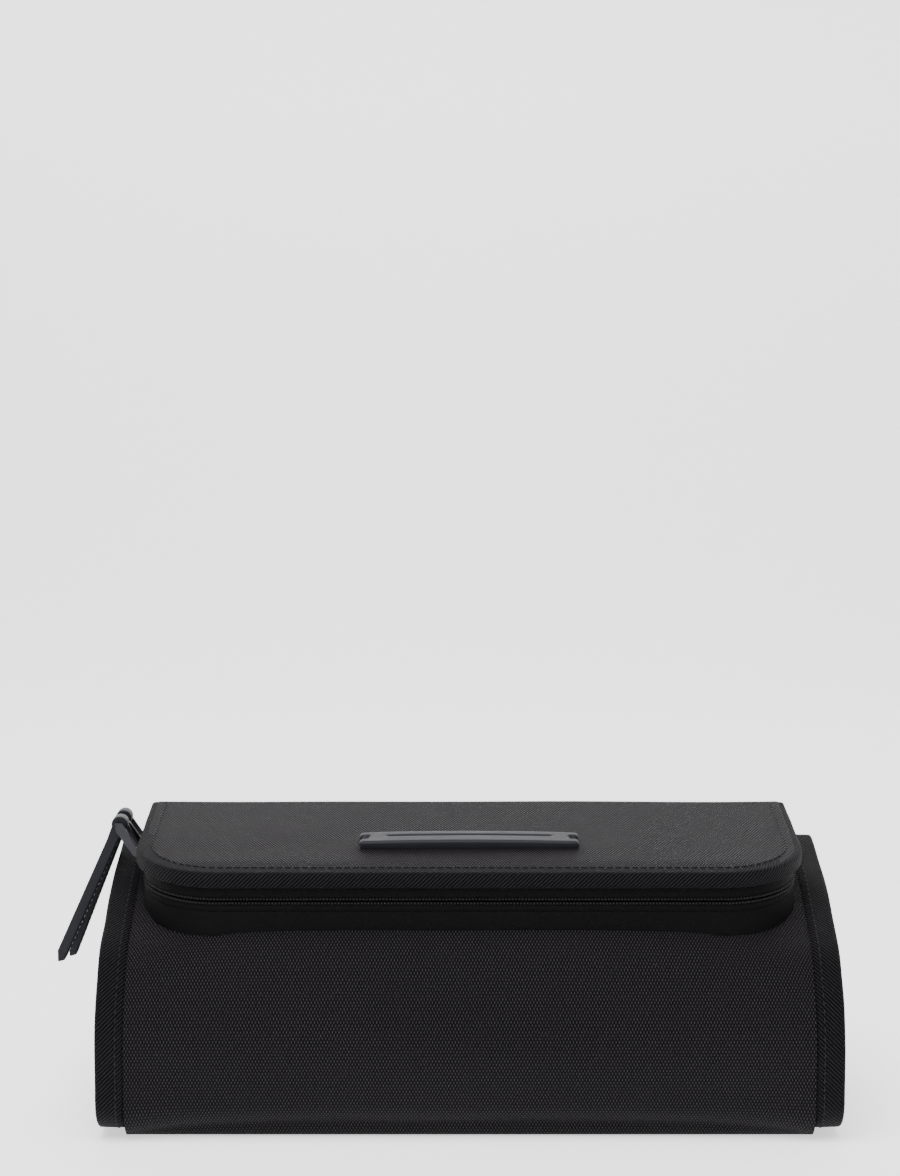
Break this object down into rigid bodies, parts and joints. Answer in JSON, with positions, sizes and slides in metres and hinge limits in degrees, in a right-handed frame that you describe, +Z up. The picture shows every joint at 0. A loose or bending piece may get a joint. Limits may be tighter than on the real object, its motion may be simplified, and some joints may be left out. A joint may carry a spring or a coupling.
{
  "type": "hanging toiletry bag",
  "caption": "Wide, low toiletry bag with bound end seams, a zipped padded lid with a grip bar, and a folding swivel hook under the lid for hanging.",
  "frame": {"origin": "middle of the underside, on the floor", "axes": "+X the right end, -Y the front, +Z up"},
  "size_m": [0.3044, 0.104, 0.1112],
  "materials": {
    "ballistic_cloth": "coarse woven, matt",
    "twill_binding": "diagonal twill tape",
    "zip_band": "fine plain weave",
    "zip_coil": "satin",
    "lining": "smooth taffeta",
    "stiff_board": "matt",
    "foam": "open foam",
    "mesh": "open mesh",
    "elastic": "ribbed",
    "soft_rubber": "satin",
    "black_metal": "satin black",
    "hook_metal": "satin"
  },
  "bodies": {
    "bag": {"back_board": "stiff_board", "back_pocket": "mesh", "back_pocket_trim": "elastic", "base_board": "stiff_board", "body_lining": "lining", "end_flange_left": "twill_binding", "end_flange_right": "twill_binding", "end_lining_left": "lining", "end_lining_right": "lining", "end_panel_left": "ballistic_cloth", "end_panel_right": "ballistic_cloth", "hinge_strip_body": "ballistic_cloth", "mouth_collar": "zip_band", "wrap_panel": "ballistic_cloth", "zip_coil_lower": "zip_coil", "zip_stops": "black_metal", "zip_tape_lower": "zip_band"},
    "lid": {"lid_panel": "ballistic_cloth", "lid_board": "stiff_board", "lid_foam": "foam", "lid_lining": "lining", "lid_binding": "twill_binding", "zip_tape_upper": "zip_band", "zip_coil_upper": "zip_coil", "hinge_strip_lid": "ballistic_cloth", "grip_bar": "soft_rubber", "bar_posts": "black_metal", "hook_patch": "elastic", "hook_bracket": "black_metal", "bracket_rivets": "hook_metal", "fold_pin": "hook_metal", "lid_pocket": "mesh", "lid_pocket_trim": "elastic"},
    "hook_fold": {"hook_yoke": "hook_metal"},
    "hook_swing": {"hook": "hook_metal"},
    "slider_front": {"slider_front": "black_metal", "bail_front": "black_metal"},
    "slider_rear": {"slider_rear": "black_metal", "bail_rear": "black_metal"},
    "pull_front": {"pull_front": "soft_rubber"},
    "pull_rear": {"pull_rear": "soft_rubber"}
  },
  "joints": [
    {"name": "lid_hinge", "type": "hinge", "parent": "bag", "child": "lid", "pos_m": [0, 0.052, 0.1018], "axis": [-1, 0, 0], "range_deg": [0, 180]},
    {"name": "slider_front_slide", "type": "slide", "parent": "bag", "child": "slider_front", "axis": [0, -0.9894, -0.1455], "range_m": [0, 0.013]},
    {"name": "slider_rear_slide", "type": "slide", "parent": "bag", "child": "slider_rear", "axis": [0, 0.9894, 0.1455], "range_m": [0, 0.0045]},
    {"name": "pull_front_swing", "type": "hinge", "parent": "slider_front", "child": "pull_front", "pos_m": [-0.138, 0.018, 0.108], "axis": [0, 1, 0], "range_deg": [0, 100]},
    {"name": "pull_rear_swing", "type": "hinge", "parent": "slider_rear", "child": "pull_rear", "pos_m": [-0.138, 0.031, 0.108], "axis": [0, 1, 0], "range_deg": [0, 100]},
    {"name": "hook_fold", "type": "hinge", "parent": "lid", "child": "hook_fold", "pos_m": [0, 0.022, 0.09422], "axis": [-1, 0, 0], "range_deg": [0, 45]},
    {"name": "hook_swivel", "type": "hinge", "parent": "hook_fold", "child": "hook_swing", "pos_m": [0, 0.022, 0.08522], "axis": [0, 0, 1], "continuous": true}
  ]
}
